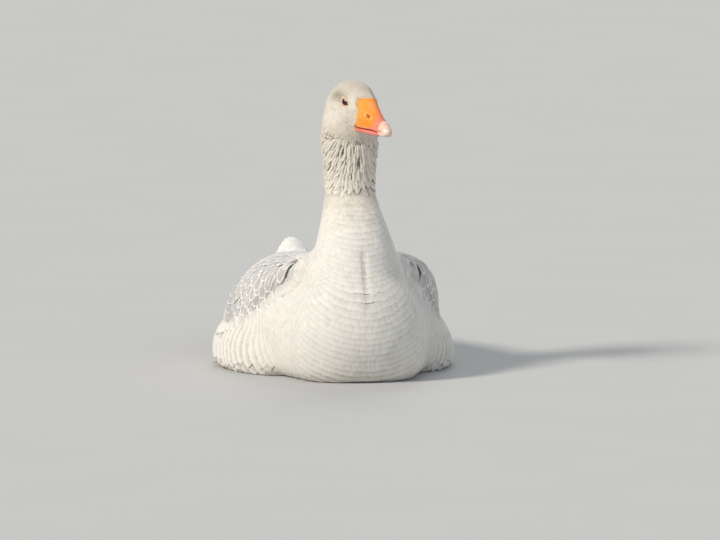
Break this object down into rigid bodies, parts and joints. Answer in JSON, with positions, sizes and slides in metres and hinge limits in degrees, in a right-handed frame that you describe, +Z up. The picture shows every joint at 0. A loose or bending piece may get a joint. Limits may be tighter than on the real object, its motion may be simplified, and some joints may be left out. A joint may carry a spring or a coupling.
{
  "type": "domestic goose",
  "caption": "Still life-size model of a white and pale grey domestic goose lying on its belly, neck upright, head turned to its left.",
  "frame": {"origin": "on the floor under the middle of the body, on the belly's flat", "axes": "+Z up, breast towards -Y and tail towards +Y, the bird's left side at +X"},
  "size_m": [0.286, 0.4929, 0.3546],
  "materials": {
    "cream_plumage": "short soft creamy feathers",
    "white_plumage": "soft white contour feathers",
    "wing_plumage": "pale grey feathers with white edges",
    "flight_feathers": "dark satin flight feathers",
    "tail_feathers": "white tail feathers",
    "bill": "smooth orange bill skin",
    "nail": "polished pale horn",
    "eye": "wet dark brown eye",
    "leg_skin": "scaly orange leg skin"
  },
  "bodies": {
    "root": {"head": "cream_plumage", "neck_upper": "cream_plumage", "neck_middle": "cream_plumage", "neck_lower": "white_plumage", "breast": "white_plumage", "trunk": "white_plumage", "rump": "white_plumage", "tail": "tail_feathers", "thigh_left": "white_plumage", "thigh_right": "white_plumage", "wing_left": "wing_plumage", "wing_right": "wing_plumage", "flight_left": "flight_feathers", "flight_right": "flight_feathers", "bill_upper": "bill", "bill_lower": "bill", "bill_nail": "nail", "eye_left": "eye", "eye_right": "eye", "shank_left": "leg_skin", "shank_right": "leg_skin", "foot_left": "leg_skin", "foot_right": "leg_skin"}
  },
  "joints": []
}
